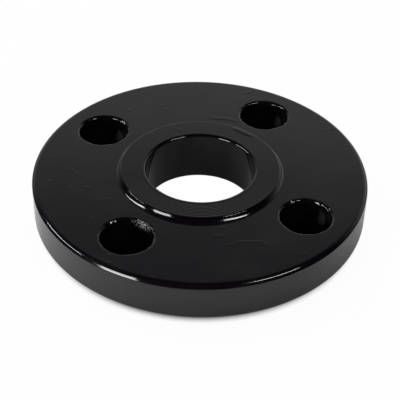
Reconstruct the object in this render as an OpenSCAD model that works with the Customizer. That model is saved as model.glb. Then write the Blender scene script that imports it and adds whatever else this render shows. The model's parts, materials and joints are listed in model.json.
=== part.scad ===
// Slip-on pipe flange with a raised gasket face, in the pattern used on 1 inch, class 150 pipework.
// It lies on its hub with the raised face up. The origin is the centre of the hub's end face,
// +Z is the axis of the bore, and the bolt holes straddle the X and Y axes.

/* [Bore] */
// Outside diameter of the pipe that slips through the bore
pipe_d = 33.4; // [26:0.1:60]
// Clearance between the pipe and the bore, all round
pipe_gap = 0.85; // [0.2:0.05:1.2]
// Radius of the rounded mouths of the bore
bore_mouth_r = 0.9; // [0.2:0.1:1.2]

/* [Raised face] */
// Width of the raised gasket face, from the bore to its edge
face_w = 8.4; // [6:0.05:14]
// Height of the raised face above the plate
face_h = 1.7; // [0.8:0.1:4]
// Radius of the raised face's outer edge
face_edge_r = 0.4; // [0.2:0.1:0.8]
// Radius of the fillet between the raised face and the plate
face_root_r = 1.1; // [0.2:0.1:1.5]

/* [Gasket finish] */
// Distance from one turned groove to the next
groove_pitch = 0.675; // [0.5:0.025:1.6]
// Nose radius of the tool that turns the grooves
groove_tool_r = 1.6; // [1:0.1:3]
// Flat land left between neighbouring grooves
groove_land = 0.2; // [0.1:0.05:0.3]
// Plain border left beside the first and the last groove
groove_border = 0.5; // [0.3:0.1:1]

/* [Plate] */
// Thickness of the plate, without the raised face and the hub
plate_t = 13.5; // [9:0.1:24]
// Radius of the plate's rounded rim edges
rim_r = 1.5; // [0.4:0.1:3]

/* [Bolt holes] */
// Number of bolt holes
bolt_count = 4; // [4, 8]
// Diameter of the bolts
bolt_d = 12.7; // [8:0.1:15]
// Clearance between a bolt and its hole, all round
bolt_gap = 1.65; // [0.8:0.05:2]
// Plate left between the raised face and the bolt holes
bolt_wall_in = 5.4; // [4:0.05:16]
// Plate left between the bolt holes and the rim
bolt_wall_out = 6.65; // [5:0.05:16]
// Radius of the rounded mouths of the bolt holes
bolt_mouth_r = 0.8; // [0.2:0.1:1]

/* [Hub] */
// Height of the hub behind the plate
hub_h = 2.1; // [1.6:0.1:12]
// Wall of the hub around the bore, where it meets the plate
hub_wall = 7.05; // [4:0.05:9]
// Draft of the hub's side
hub_draft = 7; // [0:0.5:10]
// Radius of the fillet between the hub and the plate
hub_root_r = 1; // [0.2:0.1:2]
// Radius of the hub's outer edge
hub_edge_r = 0.8; // [0.2:0.1:1.5]

/* [Hidden] */
$fn = 128;

// How far a cutting shape runs past a face, and how far a rounding arc overlaps the sides it meets
cut_past = 0.2;
hair = 0.0002;

bore_r = pipe_d / 2 + pipe_gap;
face_r = bore_r + face_w;
hole_r = bolt_d / 2 + bolt_gap;
bolt_circle_r = face_r + bolt_wall_in + hole_r;
plate_r = bolt_circle_r + hole_r + bolt_wall_out;
hub_r = bore_r + hub_wall;
hub_end_r = hub_r - hub_h * tan(hub_draft);

// Heights of the plate's front and of the gasket face above the hub's end
plate_z = hub_h + plate_t;
face_z = plate_z + face_h;

// Radii that share a short wall leave a strip of it between them
face_edge = min(face_edge_r, face_h * 0.3);
face_root = min(face_root_r, face_h * 0.65);
hub_edge = min(hub_edge_r, hub_h / 2);
hub_root = min(hub_root_r, hub_h / 2);

// The grooves fill the gasket band between its two plain borders
groove_half_w = (groove_pitch - groove_land) / 2;
groove_lift = sqrt(groove_tool_r * groove_tool_r - groove_half_w * groove_half_w);
band_in = bore_r + bore_mouth_r + groove_border;
band_out = face_r - face_edge - groove_border;
groove_count = floor((band_out - band_in) / groove_pitch);
first_groove_r = (band_in + band_out - (groove_count - 1) * groove_pitch) / 2;

// Corners of the turned section, anticlockwise from the bore's lower mouth: radius, height, rounding
section_corners = [
    [bore_r, 0, bore_mouth_r],
    [hub_end_r, 0, hub_edge],
    [hub_r, hub_h, hub_root],
    [plate_r, hub_h, rim_r],
    [plate_r, plate_z, rim_r],
    [face_r, plate_z, face_root],
    [face_r, face_z, face_edge],
    [bore_r, face_z, bore_mouth_r],
];

// Where corner i of an outline sits, and the unit vector from it towards its neighbour before (-1) or after (1)
function corner_at(corners, i) = [corners[i][0], corners[i][1]];
function neighbour(corners, i, step) = (i + step + len(corners)) % len(corners);
function unit(v) = v / norm(v);
function side(corners, i, step) = unit(corner_at(corners, neighbour(corners, i, step)) - corner_at(corners, i));

// The arc that rounds corner i: its centre, and its end on the side before or after the corner
function rounding(corners, i) = corners[i][2];
function half_angle(corners, i) = acos(side(corners, i, -1) * side(corners, i, 1)) / 2;
function bisector(corners, i) = unit(side(corners, i, -1) + side(corners, i, 1));
function arc_centre(corners, i) =
    corner_at(corners, i) + bisector(corners, i) * rounding(corners, i) / sin(half_angle(corners, i));
function arc_end(corners, i, step) =
    corner_at(corners, i) + side(corners, i, step) * rounding(corners, i) / tan(half_angle(corners, i));

// An outer corner starts sharp and is rounded off. An inner one starts with a chamfer and is hollowed out.
function is_outer(corners, i) = cross(side(corners, i, 1), side(corners, i, -1)) > 0;
function starting_points(corners, i) =
    is_outer(corners, i) ? [corner_at(corners, i)] : [arc_end(corners, i, -1), arc_end(corners, i, 1)];

// What rounding takes from corner i. It runs past both sides, and its arc is a hair large, so that the
// arc crosses the sides cleanly.
module corner_cut(corners, i) {
    centre = arc_centre(corners, i);
    radius = rounding(corners, i);
    grow = (radius + cut_past) / radius;
    tip = [arc_end(corners, i, -1), corner_at(corners, i), arc_end(corners, i, 1)];
    if (is_outer(corners, i))
        difference() {
            polygon([centre, for (p = tip) centre + (p - centre) * grow]);
            translate(centre) circle(radius + hair);
        }
    else
        translate(centre) circle(radius + hair);
}

module rounded_outline(corners) {
    all = [0 : len(corners) - 1];
    difference() {
        polygon([for (i = all) each starting_points(corners, i)]);
        for (i = all) corner_cut(corners, i);
    }
}

// Shallow arcs that the facing tool leaves in the gasket face
module groove_section() {
    for (i = [0 : groove_count - 1])
        translate([first_groove_r + i * groove_pitch, face_z + groove_lift]) circle(groove_tool_r);
}

module turned_blank() {
    rotate_extrude()
        difference() {
            rounded_outline(section_corners);
            groove_section();
        }
}

// One bolt hole with its two rounded mouths, as the spool that is cut out of the plate
module bolt_cut() {
    spool_r = hole_r + bolt_mouth_r;
    mouths = [hub_h + bolt_mouth_r, plate_z - bolt_mouth_r];
    rotate_extrude()
        difference() {
            translate([0, hub_h - cut_past]) square([spool_r, plate_t + 2 * cut_past]);
            translate([hole_r, mouths[0]]) square([bolt_mouth_r + cut_past, mouths[1] - mouths[0]]);
            for (z = mouths) translate([spool_r, z]) circle(bolt_mouth_r + hair);
        }
}

module flange() {
    color([0.03, 0.03, 0.03])
        difference() {
            turned_blank();
            for (i = [0 : bolt_count - 1])
                rotate((i + 0.5) * 360 / bolt_count) translate([bolt_circle_r, 0, 0]) bolt_cut();
        }
}

flange();
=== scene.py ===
"""Slip-on flange in thick gloss black enamel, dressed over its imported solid.

The file is laid out as an add-on: sizes, finish and studio values sit in property groups, the flange
and its stage have one operator each, and a panel in the sidebar lists them. Lengths are metres in the
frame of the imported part: +Z is the axis of the bore, and z = 0 is the surface that the hub lies on.
"""

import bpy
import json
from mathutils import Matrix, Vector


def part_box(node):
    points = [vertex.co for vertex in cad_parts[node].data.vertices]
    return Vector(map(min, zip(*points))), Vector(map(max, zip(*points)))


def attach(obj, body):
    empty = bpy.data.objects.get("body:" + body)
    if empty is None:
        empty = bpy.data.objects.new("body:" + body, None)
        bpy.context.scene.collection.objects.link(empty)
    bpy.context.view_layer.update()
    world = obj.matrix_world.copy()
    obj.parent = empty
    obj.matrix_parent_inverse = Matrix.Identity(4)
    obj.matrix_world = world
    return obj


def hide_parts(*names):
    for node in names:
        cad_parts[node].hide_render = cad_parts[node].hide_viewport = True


bl_info = {
    "name": "Enamelled slip-on flange",
    "version": (1, 0, 0),
    "blender": (4, 5, 0),
    "location": "View3D > Sidebar > Flange",
    "description": "Builds a slip-on flange in black enamel and the studio stage it is shown on",
    "category": "Add Mesh",
}

import json
import math
from collections import namedtuple
from types import SimpleNamespace

import bmesh
import bpy
from bpy.props import FloatProperty, FloatVectorProperty, PointerProperty
from mathutils import Matrix, Vector

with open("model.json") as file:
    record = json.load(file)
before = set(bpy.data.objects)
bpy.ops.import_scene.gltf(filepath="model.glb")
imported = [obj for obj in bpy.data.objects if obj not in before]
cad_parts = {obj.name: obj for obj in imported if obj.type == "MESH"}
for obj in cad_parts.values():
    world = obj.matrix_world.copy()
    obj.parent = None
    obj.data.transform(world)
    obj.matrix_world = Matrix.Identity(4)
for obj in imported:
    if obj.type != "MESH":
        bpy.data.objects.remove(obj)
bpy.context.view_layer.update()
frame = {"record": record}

MM = 0.001
QUARTER = math.pi / 2
PIECE_NAME = "enamelled_flange"
CAD_NODE = "flange"
FAT_EDGE = "fat_edge"

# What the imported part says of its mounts
MOUNTS = {mount["name"]: mount for mount in frame["record"]["mounts"]}
BORE_R = MOUNTS["pipe_bore"]["dims"]["r_mm"] * MM
BOLT_CIRCLE_R = MOUNTS["bolt_circle"]["dims"]["pcd_mm"] * MM / 2
BOLT_HOLE_R = MOUNTS["bolt_circle"]["dims"]["hole_r_mm"] * MM
BOLT_COUNT = MOUNTS["bolt_circle"]["dims"]["count"]
PLATE_BACK_Z = MOUNTS["nut_face"]["pos_m"][2]
FACE_Z = MOUNTS["gasket_face"]["pos_m"][2]
PLATE_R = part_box(CAD_NODE)[1].x

# Where paint has dried rough in one bolt hole, and the side of the gasket face where it lies thinnest
ROUGH_SPOT = Vector((-22.2, -22.2, 16.2)) * MM
THIN_SIDE = math.radians(-102)

# Grain of the paint's noises as geometry, the part of the noise that counts as a lump, and how far the
# hollow in the rough paint reaches from its spot and below the plate's front
WAVE_SIZE = 12 * MM
LUMP_SIZE = 2.2 * MM
LUMP_RANGE = (0.4, 0.75)
PIMPLE_SIZE = 0.8 * MM
DENT_REACH = (0.0, 4.2 * MM)
DENT_BELOW = (0.1 * MM, 0.9 * MM)

# The same in the material: its noises, and where each shade of the enamel begins and ends
CLOUD_SIZE = 14 * MM
CLOUD_STRETCH = (1.0, 1.0, 0.25)
HAZE_RANGE = (0.45, 0.8)
# The paler streaks in the bore are painted reflections of light
REFLECTION_STREAK_RANGE = (0.44, 0.66)
SPECKLE_SIZE = 0.4 * MM
# The pale speckles in the rough paint are painted glints of the lamps
GLINT_RANGE = (0.46, 0.62)
PEEL_SIZE = 1.5 * MM
BORE_EDGE = (BORE_R, BORE_R + 0.3 * MM)
FACE_EDGE = (FACE_Z - 0.7 * MM, FACE_Z - 0.2 * MM)
ROUGH_REACH = (2 * MM, 4.5 * MM)
ROUGH_TOP = (14.8 * MM, 15.4 * MM)
MARKED_FROM = (12 * MM, 14 * MM)

# Sags, runs and nibs in the paint on the front, each a soft oval bump in the plane of the plate:
# height, place, half length and half width in millimetres, and turn in degrees
Mark = namedtuple("Mark", "height x y half_length half_width turn")
MARKS = [
    Mark(0.012, -46.5, 15.2, 1.5, 0.9, -19),
    Mark(0.012, -41.8, 7.6, 2.2, 1.1, -21),
    Mark(0.013, -38.8, 4.5, 3.8, 1.1, -55),
    Mark(0.018, -36.6, -2.7, 2.1, 0.9, -25),
    Mark(0.016, -32.2, -9.6, 3.2, 1.3, 0),
    Mark(0.03, -17.2, 38.0, 1.7, 0.7, 2),
    Mark(0.02, -6.4, 39.2, 1.6, 0.7, -13),
    Mark(0.02, -5.1, 36.3, 1.2, 0.7, -9),
    Mark(0.036, 25.5, 42.5, 2.7, 1.0, 12),
    Mark(0.029, 11.7, 28.4, 3.7, 1.1, -12),
    Mark(0.029, 15.9, 26.8, 3.4, 1.1, -27),
    Mark(0.1, 17.8, 16.7, 4.9, 1.3, -48),
    Mark(0.02, -4.1, 22.2, 3.3, 0.7, -43),
    Mark(0.02, 2.3, -36.8, 2.3, 0.7, 8),
    Mark(0.025, 7.7, -36.5, 5.4, 0.65, -7),
    Mark(0.025, 12.3, -38.3, 2.0, 0.6, -61),
    Mark(0.02, 1.0, -28.8, 1.6, 0.8, -3),
    Mark(0.02, -1.1, -32.4, 2.6, 1.1, -2),
    Mark(0.02, 22.0, -44.7, 2.2, 0.8, -5),
    Mark(0.02, 47.4, 15.9, 4.1, 1.2, 11),
    Mark(0.07, -48.0, 3.0, 0.5, 0.5, 0),
    Mark(0.05, -42.0, -1.5, 0.5, 0.5, 0),
    Mark(0.07, -34.0, -35.5, 0.5, 0.5, 0),
    Mark(0.05, -34.5, -38.6, 0.45, 0.45, 0),
    Mark(0.05, -36.8, -17.8, 0.45, 0.45, 0),
    Mark(0.06, -22.9, -46.9, 0.45, 0.45, 0),
]

# How finely the surfaces are divided, what share of a stretch its narrow end rows take, and how far
# apart the points of two sheets may lie and still be welded
SECTOR_COLUMNS = 64
SPOKE_COLUMNS = 18
FLAT_ROWS = 14
FACE_ROWS = 68
MOUTH_ROWS = 7
GROOVES = 9
HOLD = 0.012
WELD = 0.002 * MM


def length(name, description, default):
    """A size in metres, shown in the scene's unit."""
    return FloatProperty(name=name, description=description, default=default, precision=5,
                         unit="LENGTH", subtype="DISTANCE")


def share(name, description, default):
    """A plain number from 0 to 1."""
    return FloatProperty(name=name, description=description, default=default, min=0.0, max=1.0,
                         precision=4, subtype="FACTOR")


def turn(name, description, degrees):
    """An angle, written here in degrees and kept in radians."""
    return FloatProperty(name=name, description=description, default=math.radians(degrees),
                         unit="ROTATION", subtype="ANGLE")


def colour(name, description, default):
    """A linear colour."""
    return FloatVectorProperty(name=name, description=description, default=default, size=3, min=0.0,
                               max=1.0, precision=4, subtype="COLOR")


class FlangeSizes(bpy.types.PropertyGroup):
    """The turned section, the bolt holes and the paint that lies on them."""

    plate_r: length("Plate radius", "Outside radius of the round plate", PLATE_R)
    back_z: length("Plate back", "Height of the plate's back above the end of the hub", PLATE_BACK_Z)
    front_z: length("Plate front", "Height of the plate's front above the end of the hub", 15.6 * MM)
    rim_round: length("Rim rounding", "Rounding of the plate's two outer edges", 1.5 * MM)
    face_r: length("Gasket face radius", "Radius at which the flat of the gasket face ends", 25.4 * MM)
    face_z: length("Raised face height", "Height of the gasket face above the end of the hub", FACE_Z)
    face_round: length("Face rounding", "Rounding of the raised face's outer edge", 0.5 * MM)
    face_slope: turn("Face slope", "Slope of the raised face's side", 70.0)
    bend_r: length("Bend radius", "Radius between that side and the pooled paint", 1.9 * MM)
    pool_top: turn("Pool top", "Slope at the upper end of the pooled paint", 56.0)
    pool_r: length("Pool radius", "Radius of the pooled paint", 6.0 * MM)
    pool_end: turn("Pool end", "Slope at the lower end of the pooled paint", 48.0)
    face_fillet: length("Face fillet", "Fillet at the foot of the raised face", 0.5 * MM)
    bore_r: length("Bore radius", "Radius of the plain bore", BORE_R)
    bore_round: length("Bore rounding", "Rounding of both mouths of the bore", 0.9 * MM)
    hub_r: length("Hub radius", "Radius of the hub where its side meets the plate's back", 24.6 * MM)
    hub_draft: turn("Hub draft", "Slope of the hub's side towards its end", 7.0)
    hub_round: length("Hub rounding", "Rounding of the hub's outer edge", 0.8 * MM)
    hub_fillet: length("Hub fillet", "Fillet between the hub and the plate's back", 1.0 * MM)
    circle_r: length("Bolt circle radius", "Radius of the circle through the bolt holes", BOLT_CIRCLE_R)
    hole_r: length("Bolt hole radius", "Radius of each bolt hole", BOLT_HOLE_R)
    hole_round: length("Bolt hole rounding", "Rounding of the bolt holes' mouths", 0.8 * MM)
    groove_r: length("First groove", "Radius of the innermost groove in the gasket face", 19.3 * MM)
    groove_pitch: length("Groove pitch", "Step from one groove to the next", 0.675 * MM)
    groove_depth: length("Groove depth", "Depth of the grooves under the paint", 0.042 * MM)
    film_wave: length("Film waves", "Depth of the broad waves in the paint", 0.02 * MM)
    fat_edge: length("Fat edge", "Depth of the lumps where paint has gathered on an edge", 0.26 * MM)
    rough: length("Rough paint", "Depth of the pimples in the rough paint in one hole", 0.4 * MM)
    dent: length("Dent", "Depth of the hollow in that rough paint", 1.2 * MM)


class EnamelLook(bpy.types.PropertyGroup):
    """The black enamel."""

    paint: colour("Paint", "Colour of the enamel itself", (0.0026, 0.0018, 0.0029))
    haze: colour("Haze", "Colour of the faint haze that lies in the paint", (0.0045, 0.0037, 0.0047))
    face: colour("Gasket face", "Colour of the paint on the turned face", (0.0018, 0.0011, 0.0019))
    # The colour below paints reflected light in the bore as paler streaks
    streak: colour("Bore streaks", "Colour of the paler streaks in the bore", (0.0095, 0.0088, 0.0105))
    # The colour below paints the glints of the lamps in the rough paint as pale speckles
    grit: colour("Grit", "Colour of the grit in the rough paint", (0.4, 0.39, 0.38))
    gloss: share("Gloss", "Roughness of the clean enamel", 0.09)
    dull: share("Dull", "Roughness where the enamel has dried duller", 0.15)
    rough: share("Rough", "What the rough paint in one hole adds to the roughness", 0.05)
    grain: length("Grain", "Height of the fine grain of that rough paint", 0.18 * MM)
    peel: length("Orange peel", "Height of the fine ripple of sprayed paint", 0.0012 * MM)
    marks: FloatProperty(name="Marks", description="Strength of the sags and nibs", default=0.8,
                         min=0.0)


class StudioLook(bpy.types.PropertyGroup):
    """The camera, the lamps and the plain floor."""

    azimuth: turn("Camera azimuth", "Camera's turn about the axis, 0 looking along +Y", -11.8037)
    elevation: turn("Camera elevation", "Camera's height above the plate's plane", 38.8266)
    roll: turn("Camera roll", "Camera's turn about its own line of sight", 1.4286)
    distance: length("Camera distance", "Distance from the camera to its aim", 360.3858 * MM)
    aim_right: length("Aim right", "Aim's offset from the plate's centre, to the right", 0.1674 * MM)
    aim_up: length("Aim up", "Aim's offset from the plate's centre, upwards", -9.3535 * MM)
    lens: FloatProperty(name="Lens", description="Focal length in millimetres", default=100.4213,
                        min=1.0)
    sensor: FloatProperty(name="Sensor", description="Sensor width in millimetres", default=36.0,
                          min=1.0)
    floor: colour("Floor", "Colour of the plain pale floor", (0.8, 0.8, 0.8))
    # The colour below is a shadow painted on the floor under the plate
    floor_shade: colour("Floor shade", "Colour of the floor under the plate", (0.03, 0.03, 0.03))
    floor_white: share("Floor white", "How far the camera sees the floor as plain white", 0.96)
    # The two shares below set glows painted on the floor that only the enamel's reflections see
    hole_white: share("Hole white", "How far the enamel mirrors the light under the bolt holes", 0.13)
    bore_white: share("Bore white", "How far the enamel mirrors the floor in the bore as white", 0.16)


class Value:
    """One output of a node, on which Python arithmetic adds Math nodes."""

    def __init__(self, graph, socket):
        self.graph = graph
        self.socket = socket

    def out(self, name):
        """Another output of the same node."""
        return Value(self.graph, self.socket.node.outputs[name])

    def __add__(self, other):
        return self.graph.math("ADD", self, other)

    def __radd__(self, other):
        return self.graph.math("ADD", other, self)

    def __sub__(self, other):
        return self.graph.math("SUBTRACT", self, other)

    def __rsub__(self, other):
        return self.graph.math("SUBTRACT", other, self)

    def __mul__(self, other):
        return self.graph.math("MULTIPLY", self, other)

    def __rmul__(self, other):
        return self.graph.math("MULTIPLY", other, self)

    def __truediv__(self, other):
        return self.graph.math("DIVIDE", self, other)

    def __pow__(self, other):
        return self.graph.math("POWER", self, other)

    def __neg__(self):
        return self.graph.math("MULTIPLY", self, -1.0)

    def part(self, start, end):
        """How far the value has come from start to end: 0 before start, 1 past end."""
        return self.graph.math("DIVIDE", self - start, end - start, clamp=True)

    def eased(self, start, end):
        """The same with soft ends."""
        return self.graph.node("ShaderNodeMapRange", {"interpolation_type": "SMOOTHSTEP"},
                               {"Value": self, "From Min": start, "From Max": end})


class Graph:
    """A node tree that is written as expressions."""

    def __init__(self, tree):
        self.tree = tree

    def node(self, kind, settings=None, inputs=None, output=0):
        """Adds a node: its settings first, then the values or links of its sockets."""
        made = self.tree.nodes.new(kind)
        for name, setting in (settings or {}).items():
            if name == "stops":
                set_stops(made.color_ramp, setting)
            else:
                setattr(made, name, setting)
        for key, given in (inputs or {}).items():
            for one in given if isinstance(given, list) else [given]:
                if isinstance(one, Value):
                    self.tree.links.new(one.socket, made.inputs[key])
                else:
                    made.inputs[key].default_value = one
        return Value(self, made.outputs[output]) if made.outputs else None

    def math(self, operation, *values, clamp=False):
        return self.node("ShaderNodeMath", {"operation": operation, "use_clamp": clamp},
                         dict(enumerate(values)))

    def vector(self, operation, *values, output=0):
        return self.node("ShaderNodeVectorMath", {"operation": operation}, dict(enumerate(values)),
                         output)

    def scaled(self, vector, factor):
        return self.node("ShaderNodeVectorMath", {"operation": "SCALE"}, {0: vector, "Scale": factor})

    def xyz(self, x, y, z):
        return self.node("ShaderNodeCombineXYZ", None, {"X": x, "Y": y, "Z": z})

    def split(self, vector):
        parts = self.node("ShaderNodeSeparateXYZ", None, {0: vector})
        return parts, parts.out("Y"), parts.out("Z")

    def noise(self, vector, grain, detail=0.0):
        """Noise from 0 to 1 whose lumps are about one grain apart."""
        return self.node("ShaderNodeTexNoise", {"noise_dimensions": "3D", "normalize": True},
                         {"Vector": vector, "Scale": 1.0 / grain, "Detail": detail})

    def mix_colour(self, factor, first, second):
        return self.node("ShaderNodeMix", {"data_type": "RGBA"}, {0: factor, 6: first, 7: second}, 2)


def blank_graph(owner):
    """The emptied node tree of a material or a world."""
    owner.use_nodes = True
    owner.node_tree.nodes.clear()
    return Graph(owner.node_tree)


def set_stops(ramp, stops):
    """Gives a colour ramp its stops, each a position and a grey level."""
    while len(ramp.elements) > 1:
        ramp.elements.remove(ramp.elements[-1])
    for index, (position, grey) in enumerate(stops):
        stop = ramp.elements.new(position) if index else ramp.elements[0]
        stop.position = position
        stop.color = (grey, grey, grey, 1.0)


def cos(angle):
    return angle.graph.math("COSINE", angle) if isinstance(angle, Value) else math.cos(angle)


def sin(angle):
    return angle.graph.math("SINE", angle) if isinstance(angle, Value) else math.sin(angle)


def tan(angle):
    return angle.graph.math("TANGENT", angle) if isinstance(angle, Value) else math.tan(angle)


# A section is a start and its stretches. Each stretch takes some rows of the mesh and adds its travel.
Line = namedtuple("Line", "rows across up grooved", defaults=(False,))
Arc = namedtuple("Arc", "rows radius start end fat", defaults=(0.0,))


def held_line(rows, across, up):
    """A straight stretch with a narrow row at each end, which keeps its neighbours' shading off it."""
    return [Line(1, across * HOLD, up * HOLD),
            Line(rows, across * (1 - 2 * HOLD), up * (1 - 2 * HOLD)),
            Line(1, across * HOLD, up * HOLD)]


def hub_tangents(s):
    """How far the hub's rounding and its fillet reach along the faces that they join."""
    lean = tan(s.hub_draft / 2 + QUARTER / 2)
    return s.hub_round / lean, s.hub_fillet / lean


def face_side(s):
    """The hollow arcs at the raised face's foot, the straight of its side, and the foot's radius."""
    slopes = [0.0, s.pool_end, s.pool_top, s.face_slope]
    radii = [s.face_fillet, s.pool_r, s.bend_r]
    hollow = [Arc(4, radius, -QUARTER - low, -QUARTER - high)
              for radius, low, high in zip(radii, slopes, slopes[1:])]
    rise = s.face_z - s.front_z - s.face_round * (1 - cos(s.face_slope))
    foot = s.face_r + s.face_round * sin(s.face_slope)
    for radius, low, high in zip(radii, slopes, slopes[1:]):
        rise = rise - radius * (cos(low) - cos(high))
        foot = foot + radius * (sin(high) - sin(low))
    run = rise / tan(s.face_slope)
    return hollow, Line(2, -run, rise), foot + run


def core_section(s):
    """From the raised face's foot over the face, down the bore and round the hub to the back."""
    edge, foot = hub_tangents(s)
    side = s.back_z / cos(s.hub_draft) - edge - foot
    end_r = s.hub_r - s.back_z * tan(s.hub_draft)
    hollow, wall, face_foot = face_side(s)
    return (face_foot, s.front_z), [
        *hollow,
        wall,
        Arc(6, s.face_round, QUARTER - s.face_slope, QUARTER, fat=0.05),
        Line(FACE_ROWS, s.bore_r + s.bore_round - s.face_r, 0.0, grooved=True),
        Arc(MOUTH_ROWS, s.bore_round, QUARTER, 2 * QUARTER),
        *held_line(10, 0.0, 2 * s.bore_round - s.face_z),
        Arc(5, s.bore_round, 2 * QUARTER, 3 * QUARTER),
        *held_line(2, end_r - edge - s.bore_r - s.bore_round, 0.0),
        Arc(5, s.hub_round, -QUARTER, -s.hub_draft),
        Line(2, side * sin(s.hub_draft), side * cos(s.hub_draft)),
        Arc(5, s.hub_fillet, 2 * QUARTER - s.hub_draft, QUARTER),
    ]


def rim_section(s):
    """From the plate's back round the rim to its front."""
    start = (s.plate_r - s.rim_round, s.back_z)
    return start, [
        Arc(8, s.rim_round, -QUARTER, 0.0, fat=0.03),
        *held_line(12, 0.0, s.front_z - s.back_z - 2 * s.rim_round),
        Arc(12, s.rim_round, 0.0, QUARTER, fat=0.03),
    ]


def hole_section(s):
    """From the plate's front through a bolt hole to its back, finer where paint has gathered."""
    start = (s.hole_r + s.hole_round, s.front_z)
    lip = 0.1 * MM
    upper = 3.6 * MM
    lower = s.front_z - s.back_z - 2 * s.hole_round - upper - 2 * lip
    return start, [
        Line(FLAT_ROWS, 0.0, 0.0),
        Arc(MOUTH_ROWS, s.hole_round, QUARTER, 2 * QUARTER, fat=1.0),
        Line(1, 0.0, -lip),
        Line(12, 0.0, -upper),
        Line(10, 0.0, -lower),
        Line(1, 0.0, -lip),
        Arc(MOUTH_ROWS, s.hole_round, 2 * QUARTER, 3 * QUARTER, fat=1.0),
        Line(FLAT_ROWS, 0.0, 0.0),
    ]


def grid(graph, columns, rows):
    """A flat sheet of quads, and each point's column and row."""
    sheet = graph.node("GeometryNodeMeshGrid", None,
                       {"Size X": columns, "Size Y": rows,
                        "Vertices X": columns + 1, "Vertices Y": rows + 1})
    x, y, _ = graph.split(graph.node("GeometryNodeInputPosition"))
    return sheet, x + columns / 2, y + rows / 2


def rows_of(stretches):
    return sum(stretch.rows for stretch in stretches)


def drawn(row, start, stretches, groove_at=None):
    """Radius, height and gathered paint along the rows of a section."""
    radius, height = start
    fat = 0.0
    first = 0
    for stretch in stretches:
        done = row.part(first, first + stretch.rows)
        first += stretch.rows
        if isinstance(stretch, Arc):
            angle = done * (stretch.end - stretch.start) + stretch.start
            radius = radius + (cos(angle) - cos(stretch.start)) * stretch.radius
            height = height + (sin(angle) - sin(stretch.start)) * stretch.radius
            fat = fat + sin(done * math.pi) * stretch.fat
        else:
            radius = radius + done * stretch.across
            height = height + done * stretch.up
            if stretch.grooved:
                height = height - groove_at(radius)
    return radius, height, fat


def formed(graph, sheet, place, fat):
    """Puts a sheet's points in their places and keeps the gathered paint with them."""
    stored = graph.node("GeometryNodeStoreNamedAttribute", {"data_type": "FLOAT", "domain": "POINT"},
                        {"Geometry": sheet, "Name": FAT_EDGE, "Value": fat})
    return graph.node("GeometryNodeSetPosition", None, {"Geometry": stored, "Position": place})


def groove(s, radius, angle):
    """How deep the gasket face's rings lie at a radius; paint fills them except on the thin side."""
    step = (radius - s.groove_r) / s.groove_pitch
    inside = step.part(-0.5, GROOVES - 0.5) * GROOVES - 0.5
    thin = cos(angle - THIN_SIDE).eased(0.1, 0.5) * 0.9 + 0.1
    return (0.5 + 0.5 * cos(inside * math.tau)) * thin * s.groove_depth


def turned_ring(graph, s, section):
    """A section turned once round the axis."""
    start, stretches = section(s)
    columns = SECTOR_COLUMNS * BOLT_COUNT
    sheet, column, row = grid(graph, columns, rows_of(stretches))

    angle = column * (math.tau / columns)
    radius, height, fat = drawn(row, start, stretches, lambda radius: groove(s, radius, angle))
    return formed(graph, sheet, graph.xyz(radius * cos(angle), radius * sin(angle), height), fat)


def holed_sector(graph, s):
    """One hole's share of the plate's front and back, joined through the hole, which lies on +X."""
    start, stretches = hole_section(s)
    across, along = SPOKE_COLUMNS, SECTOR_COLUMNS
    columns, rows = 2 * (across + along), rows_of(stretches)
    sheet, column, row = grid(graph, columns, rows)
    reach, height, fat = drawn(row, start, stretches)

    # The border goes along the rim, in along a spoke, back along the hub and out along the other spoke
    swing = column.part(0, along) - column.part(along + across, columns - across)
    inward = column.part(along, along + across) - column.part(columns - across, columns)
    behind = row.part(rows / 2 - 1, rows / 2 + 1)
    outer = s.plate_r - s.rim_round
    front_inner = face_side(s)[-1]
    back_inner = s.hub_r + hub_tangents(s)[1]
    inner = front_inner + behind * (back_inner - front_inner)
    border = outer - (outer - inner) * inward
    angle = (swing - 0.5) * (math.tau / BOLT_COUNT)
    x = border * cos(angle) - s.circle_r
    y = border * sin(angle)
    away = (x * x + y * y) ** 0.5

    # Rows of the flats lie between that border and the hole's mouth
    last = FLAT_ROWS - 1
    spread = 2
    for step in (row, rows - row):
        middle = step.part(1, last) * (1 - 2 * HOLD)
        spread = spread - (step.part(0, 1) * HOLD + middle + step.part(last, last + 1) * HOLD)
    far = reach + (away - reach) * spread
    place = graph.xyz(s.circle_r + x / away * far, y / away * far, height)
    return formed(graph, sheet, place, fat)


def all_sectors(graph, s):
    """The sector repeated round the axis, half a step from +X."""
    spots = graph.node("GeometryNodeMeshLine", None, {"Count": BOLT_COUNT, "Offset": (0.0, 0.0, 0.0)})
    index = graph.node("GeometryNodeInputIndex")
    rotation = graph.xyz(0.0, 0.0, (index + 0.5) * (math.tau / BOLT_COUNT))
    copies = graph.node("GeometryNodeInstanceOnPoints", None,
                        {"Points": spots, "Instance": holed_sector(graph, s), "Rotation": rotation})
    return graph.node("GeometryNodeRealizeInstances", None, {"Geometry": copies})


def painted(graph, body, s):
    """Moves the welded surface inwards by the paint's waves, lumps and pimples."""
    place = graph.node("GeometryNodeInputPosition")
    normal = graph.node("GeometryNodeInputNormal")
    fat = graph.node("GeometryNodeInputNamedAttribute", {"data_type": "FLOAT"}, {"Name": FAT_EDGE})
    waves = graph.noise(place, WAVE_SIZE, detail=1.0) * s.film_wave
    lumps = graph.noise(place, LUMP_SIZE, detail=1.0).part(*LUMP_RANGE) * fat * s.fat_edge
    _, _, height = graph.split(place)
    below = (s.front_z - height).eased(*DENT_BELOW)
    near = 1 - graph.vector("DISTANCE", place, ROUGH_SPOT, output="Value").eased(*DENT_REACH)
    hollow = (graph.noise(place, PIMPLE_SIZE) * s.rough + s.dent) * near * below
    depth = waves + lumps + hollow
    return graph.node("GeometryNodeSetPosition", None,
                      {"Geometry": body, "Offset": graph.scaled(normal, -depth)})


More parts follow.
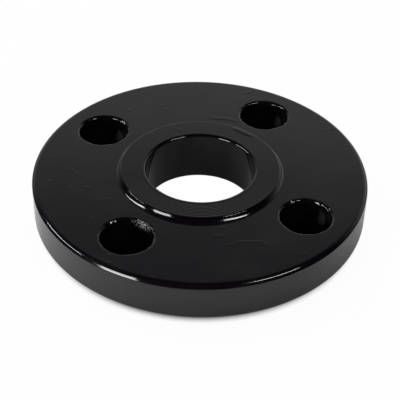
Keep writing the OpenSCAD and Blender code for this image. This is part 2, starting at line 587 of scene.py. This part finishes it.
def flange_tree(sizes, material):
    """The whole flange as one tree, and the values of its named inputs by identifier."""
    tree = bpy.data.node_groups.new("Turned flange", "GeometryNodeTree")
    tree.is_modifier = True
    tree.interface.new_socket("Geometry", in_out="OUTPUT", socket_type="NodeSocketGeometry")
    graph = Graph(tree)
    names, settings = {}, {}
    for prop in sizes.bl_rna.properties:
        if prop.type == "FLOAT":
            socket = tree.interface.new_socket(prop.name, in_out="INPUT", socket_type="NodeSocketFloat")
            names[prop.identifier] = prop.name
            settings[socket.identifier] = getattr(sizes, prop.identifier)
    entry = graph.node("NodeGroupInput")
    s = SimpleNamespace(**{key: entry.out(name) for key, name in names.items()})

    rings = [turned_ring(graph, s, core_section), turned_ring(graph, s, rim_section)]
    sheets = graph.node("GeometryNodeJoinGeometry", None, {"Geometry": [*rings, all_sectors(graph, s)]})
    welded = graph.node("GeometryNodeMergeByDistance", None, {"Geometry": sheets, "Distance": WELD})
    coated = painted(graph, welded, s)
    smooth = graph.node("GeometryNodeSetShadeSmooth", None, {"Geometry": coated, "Shade Smooth": True})
    solid = graph.node("GeometryNodeRealizeInstances", None, {"Geometry": smooth})
    dressed = graph.node("GeometryNodeSetMaterial", None, {"Geometry": solid, "Material": material})
    graph.node("NodeGroupOutput", None, {"Geometry": dressed})
    return tree, settings


def plain_mesh(piece):
    """Turns what the piece's modifiers make into its own mesh, with the modifiers gone."""
    depsgraph = bpy.context.evaluated_depsgraph_get()
    mesh = bpy.data.meshes.new_from_object(piece.evaluated_get(depsgraph),
                                           preserve_all_data_layers=True, depsgraph=depsgraph)
    piece.modifiers.clear()
    piece.data = mesh
    mesh.name = piece.name
    return mesh


def check_closed(mesh):
    """Raises unless the mesh is one closed skin that faces outwards."""
    shell = bmesh.new()
    shell.from_mesh(mesh)
    loose = sum(1 for edge in shell.edges if not edge.is_manifold)
    volume = shell.calc_volume(signed=True)
    shell.free()
    if loose or volume <= 0:
        raise RuntimeError(f"the flange's skin has {loose} open edges and a volume of {volume}")


def rough_paint(graph, place, height):
    """How far the enamel is the rough paint in one bolt hole, which ends below the hole's lip."""
    near = 1 - graph.vector("DISTANCE", place, ROUGH_SPOT, output="Value").eased(*ROUGH_REACH)
    return near * (1 - height.eased(*ROUGH_TOP))


def enamel_colour(graph, look, place, height, clouds, grit):
    """Nearly black: hazy in clouds, with paler streaks painted in the bore as reflected light, darkest
    on the face, and pale speckles painted in one hole as glints.
    """
    away = graph.vector("LENGTH", graph.vector("MULTIPLY", place, (1.0, 1.0, 0.0)), output="Value")
    shades = [
        (clouds.eased(*HAZE_RANGE), look.haze),
        # Paler streaks painted in the bore stand in for reflected light
        (clouds.eased(*REFLECTION_STREAK_RANGE) * (1 - away.eased(*BORE_EDGE)), look.streak),
        (height.eased(*FACE_EDGE), look.face),
        (grit, look.grit),
    ]
    mixed = (*look.paint, 1.0)
    for amount, shade in shades:
        mixed = graph.mix_colour(amount, mixed, (*shade, 1.0))
    return mixed


def enamel_relief(graph, look, place, height, grain):
    """Height of the fine peel, of the rough paint's grain and of the marks on the front."""
    peel = graph.noise(place, PEEL_SIZE, detail=1.0) * look.peel
    front = height.eased(*MARKED_FROM) * look.marks
    return peel + grain * look.grain + marked(graph, place) * front


def enamel(look):
    """Thick gloss black enamel with a fine peel, duller clouds, a few nibs and one rough patch, whose
    pale speckles are painted glints.
    """
    material = bpy.data.materials.new("Gloss black enamel")
    graph = blank_graph(material)
    place = graph.node("ShaderNodeTexCoord", None, None, "Object")
    _, _, height = graph.split(place)
    clouds = graph.noise(graph.vector("MULTIPLY", place, CLOUD_STRETCH), CLOUD_SIZE, detail=3.0)
    speckle = graph.noise(place, SPECKLE_SIZE)
    rough = rough_paint(graph, place, height)

    # Pale speckles painted in the rough paint stand in for glints of the lamps
    grit = speckle.eased(*GLINT_RANGE) * rough
    body_colour = enamel_colour(graph, look, place, height, clouds, grit)
    duller = clouds.eased(*HAZE_RANGE) * (look.dull - look.gloss)
    roughness = look.gloss + duller + rough * look.rough
    relief = enamel_relief(graph, look, place, height, speckle * rough)
    normal = graph.node("ShaderNodeBump", None, {"Strength": 1.0, "Distance": 1.0, "Height": relief})
    skin = graph.node("ShaderNodeBsdfPrincipled", None,
                      {"Base Color": body_colour, "Roughness": roughness, "IOR": 1.5,
                       "Normal": normal})
    graph.node("ShaderNodeOutputMaterial", None, {"Surface": skin})
    return material


def marked(graph, place):
    """Height of the marks in the paint."""
    height = 0.0
    for mark in MARKS:
        spot = Vector((mark.x, mark.y, 0.0)) * MM
        away = 0.0
        for half, turned in ((mark.half_length, mark.turn), (mark.half_width, mark.turn + 90)):
            angle = math.radians(turned)
            axis = Vector((math.cos(angle), math.sin(angle), 0.0)) / (half * MM)
            step = graph.vector("DOT_PRODUCT", place, axis, output="Value") - axis.dot(spot)
            away = away + step * step
        height = height + graph.node("ShaderNodeMapRange", {"interpolation_type": "SMOOTHSTEP"},
                                     {"Value": away, "To Min": mark.height * MM, "To Max": 0.0})
    return height


class FLANGE_OT_body(bpy.types.Operator):
    """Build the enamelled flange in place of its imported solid"""

    bl_idname = "flange.body"
    bl_label = "Enamelled flange"

    def execute(self, context):
        piece = bpy.data.objects.new(PIECE_NAME, bpy.data.meshes.new(PIECE_NAME))
        context.scene.collection.objects.link(piece)
        tree, settings = flange_tree(context.scene.flange_sizes, enamel(context.scene.flange_enamel))
        modifier = piece.modifiers.new("Turned flange", "NODES")
        modifier.node_group = tree
        for identifier, value in settings.items():
            modifier[identifier] = value
        check_closed(plain_mesh(piece))
        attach(piece, "root")
        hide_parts(CAD_NODE)
        return {"FINISHED"}


# Where each lamp stands as the camera sees the flange: degrees to the left of the camera and above the
# floor, then its width and height in metres, its power in watts and whether the enamel mirrors it
Lamp = namedtuple("Lamp", "name left above width height power mirrored", defaults=(True,))
LAMP_DISTANCE = 1.0
LAMPS = [
    Lamp("Front softbox", 47.5, -3.5, 0.4, 0.87, 15.6),
    Lamp("Left strip", 91, 21, 0.56, 0.1, 3.6),
    Lamp("Right strip", -49.5, 31, 0.49, 0.1, 3.3),
    Lamp("Overhead fill", 146, 65, 1.2, 1.2, 10.1, mirrored=False),
]

# The room: its brightness by the sine of the elevation, how many degrees to the left of the camera it
# is brightest, and the cosines between which it fades from there
SURROUND = [(0.0, 0.4), (0.06, 0.78), (0.34, 0.74), (0.46, 0.62), (0.52, 0.575), (0.58, 0.5),
            (0.62, 0.335), (0.68, 0.225), (0.77, 0.2), (1.0, 0.2)]
SURROUND_LEFT = 190
SURROUND_FADE = (0.2, 0.95)

# The floor, the flat oval stand on it, and the edges of the bore and of the shadow painted under the
# plate
FLOOR_SIZE = 6.0
STAND_HALF = (63.2 * MM, 69 * MM)
STAND_SQUARE = 2.15
STAND_POINTS = 120
STAND_H = 0.3 * MM
BORE_FLOOR = (19 * MM, 21 * MM)
OPEN_FLOOR = (50 * MM, 54 * MM)

# Light painted as a glow on the stand under some of the bolt holes, which only the enamel's reflections
# see: which, how far to the left of each and behind it, and the soft edge of each spot
SPILL_HOLES = (0, 1, 3)
SPILL_LEFT = 7.5 * MM
SPILL_BEHIND = 4.5 * MM
SPILL_EDGE = (1.5 * MM, 5.5 * MM)


def bearing(look, left, above):
    """The direction some degrees to the left of the camera and above the floor."""
    angle = look.azimuth - QUARTER - math.radians(left)
    above = math.radians(above)
    flat = math.cos(above)
    return Vector((flat * math.cos(angle), flat * math.sin(angle), math.sin(above)))


def camera_axes(look):
    """The camera's right, up and backward directions, before its roll."""
    turn_z = Matrix.Rotation(look.azimuth, 3, "Z")
    right = turn_z @ Vector((1.0, 0.0, 0.0))
    up = turn_z @ Vector((0.0, math.sin(look.elevation), math.cos(look.elevation)))
    return right, up, right.cross(up)


def add_camera(scene, look, centre):
    """The camera, aimed at a point beside the centre of the plate's front."""
    right, up, back = camera_axes(look)
    place = centre + look.aim_right * right + look.aim_up * up + look.distance * back
    rolled_right = math.cos(look.roll) * right + math.sin(look.roll) * up
    rolled_up = math.cos(look.roll) * up - math.sin(look.roll) * right
    data = bpy.data.cameras.new("Camera")
    data.lens = look.lens
    data.sensor_width = look.sensor
    data.sensor_fit = "HORIZONTAL"
    data.clip_start = look.distance / 10
    camera = bpy.data.objects.new("Camera", data)
    axes = Matrix((rolled_right, rolled_up, back)).transposed()
    camera.matrix_world = Matrix.Translation(place) @ axes.to_4x4()
    scene.collection.objects.link(camera)
    scene.camera = camera


def add_lamp(scene, look, centre, lamp):
    """An area lamp on a sphere round the flange, facing its centre."""
    direction = bearing(look, lamp.left, lamp.above)
    data = bpy.data.lights.new(lamp.name, "AREA")
    data.shape = "RECTANGLE"
    data.size = lamp.width
    data.size_y = lamp.height
    data.energy = lamp.power
    light = bpy.data.objects.new(lamp.name, data)
    light.location = centre + LAMP_DISTANCE * direction
    light.rotation_euler = direction.to_track_quat("Z", "Y").to_euler()
    light.visible_camera = False
    light.visible_glossy = lamp.mirrored
    scene.collection.objects.link(light)


def spill_spots(look):
    """Where the painted pools of light lie: on the floor to the left of the hole and behind it."""
    shift = bearing(look, 90, 0) * SPILL_LEFT + bearing(look, 180, 0) * SPILL_BEHIND
    angles = [(step + 0.5) * math.tau / BOLT_COUNT for step in SPILL_HOLES]
    return [BOLT_CIRCLE_R * Vector((math.cos(angle), math.sin(angle), 0.0)) + shift
            for angle in angles]


def floor_material(look):
    """Plain pale floor that the camera sees as nearly white, with a shadow painted dark where the plate
    lies over it and glows painted on it that only the enamel's reflections see.
    """
    material = bpy.data.materials.new("Plain pale floor")
    graph = blank_graph(material)
    place = graph.node("ShaderNodeTexCoord", None, None, "Object")
    radius = graph.vector("LENGTH", place, output="Value")
    in_bore = 1 - radius.eased(*BORE_FLOOR)
    open_floor = radius.eased(*OPEN_FLOOR)
    spill = sum(1 - graph.vector("DISTANCE", place, spot, output="Value").eased(*SPILL_EDGE)
                for spot in spill_spots(look))
    path = graph.node("ShaderNodeLightPath", None, None, "Is Camera Ray")
    # Under the plate the floor's colour is a painted shadow
    pale = graph.mix_colour(open_floor, (*look.floor_shade, 1.0), (*look.floor, 1.0))
    matt = graph.node("ShaderNodeBsdfDiffuse", None, {"Color": pale})
    white = graph.node("ShaderNodeEmission", None, {"Color": (1.0, 1.0, 1.0, 1.0), "Strength": 1.0})
    # The enamel's reflections see a painted glow in the bore and painted pools of light under the holes
    glow = (path * (in_bore + open_floor * look.floor_white)
            + path.out("Is Glossy Ray") * (in_bore * look.bore_white + spill * look.hole_white))
    mixed = graph.node("ShaderNodeMixShader", None, {0: glow, 1: matt, 2: white})
    graph.node("ShaderNodeOutputMaterial", None, {"Surface": mixed})
    return material


def stand_points(look):
    """The oval outline of the stand, with its long axis towards the camera."""
    points = []
    for step in range(STAND_POINTS):
        angle = math.tau * step / STAND_POINTS
        x, y = math.cos(angle), math.sin(angle)
        spread = sum(abs(part / half) ** STAND_SQUARE for part, half in zip((x, y), STAND_HALF))
        point = Vector((x, y, 0.0)) * spread ** (-1 / STAND_SQUARE)
        points.append(Matrix.Rotation(look.azimuth, 3, "Z") @ point)
    return points


def add_floor(scene, look):
    """The wide floor, which the enamel doesn't mirror, and the low oval stand on it, which it does."""
    material = floor_material(look)
    half = FLOOR_SIZE / 2
    wide = [(x * half, y * half, -STAND_H) for x, y in ((-1, -1), (1, -1), (1, 1), (-1, 1))]
    for name, points, mirrored in (("Floor", wide, False), ("Stand", stand_points(look), True)):
        mesh = bpy.data.meshes.new(name)
        mesh.from_pydata(points, [], [range(len(points))])
        mesh.materials.append(material)
        piece = bpy.data.objects.new(name, mesh)
        piece.visible_glossy = mirrored
        piece.visible_shadow = mirrored
        scene.collection.objects.link(piece)


def add_surround(scene, look):
    """A room that is dark on the camera's side and overhead; the camera sees it plain white."""
    world = bpy.data.worlds.new("White surround")
    graph = blank_graph(world)
    direction = graph.node("ShaderNodeTexCoord", None, None, "Generated")
    _, _, up = graph.split(direction)
    grey = graph.node("ShaderNodeValToRGB", {"stops": SURROUND}, {"Fac": up})
    behind = graph.vector("DOT_PRODUCT", direction, bearing(look, SURROUND_LEFT, 0), output="Value")
    seen = graph.node("ShaderNodeLightPath", None, None, "Is Camera Ray")
    room = graph.node("ShaderNodeBackground", None,
                      {"Color": grey * behind.eased(*SURROUND_FADE), "Strength": 1.0})
    white = graph.node("ShaderNodeBackground", None, {"Color": (1.0, 1.0, 1.0, 1.0), "Strength": 1.0})
    mixed = graph.node("ShaderNodeMixShader", None, {0: seen, 1: room, 2: white})
    graph.node("ShaderNodeOutputWorld", None, {"Surface": mixed})
    scene.world = world


class FLANGE_OT_stage(bpy.types.Operator):
    """Set up the floor, the white surround, the lamps and the camera"""

    bl_idname = "flange.stage"
    bl_label = "Studio stage"

    def execute(self, context):
        scene = context.scene
        look = scene.flange_studio
        centre = Vector((0.0, 0.0, scene.flange_sizes.front_z))
        add_floor(scene, look)
        add_surround(scene, look)
        for lamp in LAMPS:
            add_lamp(scene, look, centre, lamp)
        add_camera(scene, look, centre)
        scene.view_settings.view_transform = "Standard"
        return {"FINISHED"}


class FLANGE_PT_sidebar(bpy.types.Panel):
    """Lists the flange's operators and their values"""

    bl_idname = "FLANGE_PT_sidebar"
    bl_label = "Slip-on flange"
    bl_space_type = "VIEW_3D"
    bl_region_type = "UI"
    bl_category = "Flange"

    def draw(self, context):
        scene = context.scene
        for operator, groups in (
            (FLANGE_OT_body, (scene.flange_sizes, scene.flange_enamel)),
            (FLANGE_OT_stage, (scene.flange_studio,)),
        ):
            box = self.layout.box()
            for group in groups:
                for prop in group.bl_rna.properties:
                    if prop.type == "FLOAT":
                        box.prop(group, prop.identifier)
            box.operator(operator.bl_idname)


CLASSES = (FlangeSizes, EnamelLook, StudioLook, FLANGE_OT_body, FLANGE_OT_stage, FLANGE_PT_sidebar)
GROUPS = {"flange_sizes": FlangeSizes, "flange_enamel": EnamelLook, "flange_studio": StudioLook}


def register():
    for cls in CLASSES:
        bpy.utils.register_class(cls)
    for name, group in GROUPS.items():
        setattr(bpy.types.Scene, name, PointerProperty(type=group))


def unregister():
    for name in GROUPS:
        delattr(bpy.types.Scene, name)
    for cls in reversed(CLASSES):
        bpy.utils.unregister_class(cls)


def main():
    register()
    bpy.ops.flange.body()
    bpy.ops.flange.stage()


if __name__ == "__main__":
    main()
